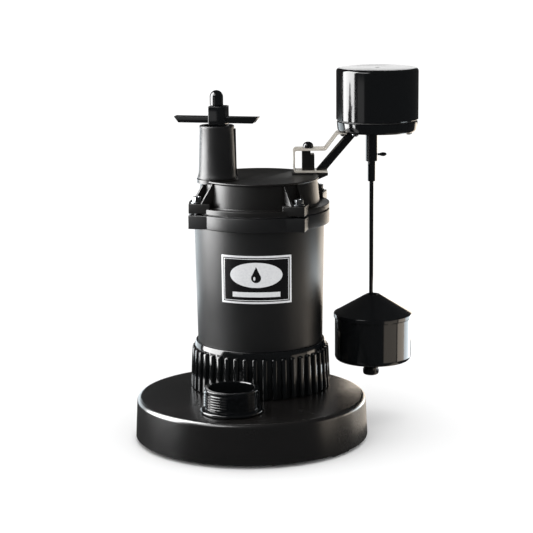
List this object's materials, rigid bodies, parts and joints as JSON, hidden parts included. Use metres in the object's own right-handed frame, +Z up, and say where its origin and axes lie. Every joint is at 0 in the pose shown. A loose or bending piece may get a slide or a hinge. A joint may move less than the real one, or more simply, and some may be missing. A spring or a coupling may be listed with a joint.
{
  "type": "submersible sump pump",
  "caption": "Submersible sump pump: round intake base, upright motor in a ribbed collar, threaded discharge, lifting handle and a float switch on a rod.",
  "frame": {"origin": "centre of the round base, at the floor, on the underside of the strainer's middle foot", "axes": "+Z up along the motor; -Y towards the discharge nipple; +X towards the float switch"},
  "size_m": [0.2365, 0.2179, 0.319],
  "materials": {
    "base_plastic": "satin moulded black plastic",
    "gloss_black": "polished moulded black plastic",
    "satin_black": "satin black coating",
    "cover_plastic": "satin moulded black plastic",
    "stainless": "plain stainless sheet",
    "zinc": "zinc plated",
    "steel": "ground steel",
    "laminations": "varnished steel sheet",
    "copper": "enamelled copper wire",
    "rubber": "black rubber",
    "seal_ceramic": "lapped ceramic",
    "seal_carbon": "carbon",
    "cast_aluminium": "as cast",
    "chamber_plastic": "glass filled black plastic",
    "works_plastic": "moulded black plastic",
    "label_silver": "printed metal plate"
  },
  "bodies": {
    "pump": {"base_shell": "base_plastic", "strainer_plate": "base_plastic", "volute_casing": "chamber_plastic", "suction_plate": "chamber_plastic", "discharge_nipple": "gloss_black", "ribbed_collar": "gloss_black", "seal_plate": "cast_aluminium", "seal_seat": "seal_ceramic", "motor_housing": "satin_black", "lower_bearing": "steel", "upper_bearing": "steel", "upper_end_plate": "cast_aluminium", "stator_core": "laminations", "stator_winding": "copper", "overload_protector": "seal_carbon", "terminal_block": "works_plastic", "cover_gasket": "rubber", "top_cover": "cover_plastic", "cover_screw_1": "zinc", "cover_screw_2": "zinc", "cover_screw_3": "zinc", "cover_screw_4": "zinc", "lifting_tower": "satin_black", "handle_block": "gloss_black", "t_handle": "gloss_black", "handle_stud": "zinc", "dome_nut": "gloss_black", "cord_gland": "rubber", "nameplate": "label_silver", "bracket_post": "satin_black", "post_stud": "zinc", "clamp_nut": "gloss_black", "switch_bracket": "stainless", "brace_arm": "gloss_black", "bracket_screw_1": "zinc", "bracket_screw_2": "zinc", "switch_base": "gloss_black", "switch_seal": "rubber", "switch_cap": "gloss_black", "switch_screw_1": "zinc", "switch_screw_2": "zinc", "switch_screw_3": "zinc", "snap_switch": "works_plastic", "lever_pin": "steel", "guide_pin": "gloss_black"},
    "rotor": {"shaft": "steel", "rotor_core": "laminations", "impeller": "chamber_plastic", "impeller_nut": "stainless", "seal_head": "seal_carbon", "seal_spring": "stainless"},
    "rod": {"float_rod": "gloss_black", "rod_sleeve": "gloss_black", "rod_end_stop": "gloss_black"},
    "float": {"float_upper": "gloss_black", "float_lower": "gloss_black"},
    "lever": {"switch_lever": "stainless"},
    "plunger": {"switch_plunger": "works_plastic"}
  },
  "joints": [
    {"name": "rotor_spin", "type": "hinge", "parent": "pump", "child": "rotor", "pos_m": [0, 0.0365, 0.1], "axis": [0, 0, 1], "continuous": true},
    {"name": "rod_slide", "type": "slide", "parent": "pump", "child": "rod", "axis": [0, 0, 1], "range_m": [0, 0.008]},
    {"name": "float_slide", "type": "slide", "parent": "rod", "child": "float", "axis": [0, 0, 1], "range_m": [0, 0.102]},
    {"name": "lever_swing", "type": "hinge", "parent": "pump", "child": "lever", "pos_m": [0.07195, 0.07339, 0.2709], "axis": [0.2284, -0.9736, 0], "range_deg": [0, 21]},
    {"name": "plunger_travel", "type": "slide", "parent": "pump", "child": "plunger", "axis": [0, 0, 1], "range_m": [0, 0.0037]}
  ],
  "couplings": [
    {"joint": "lever_swing", "follows": "rod_slide", "rad_per_m": 45.455},
    {"joint": "plunger_travel", "follows": "rod_slide", "ratio": 0.45}
  ]
}
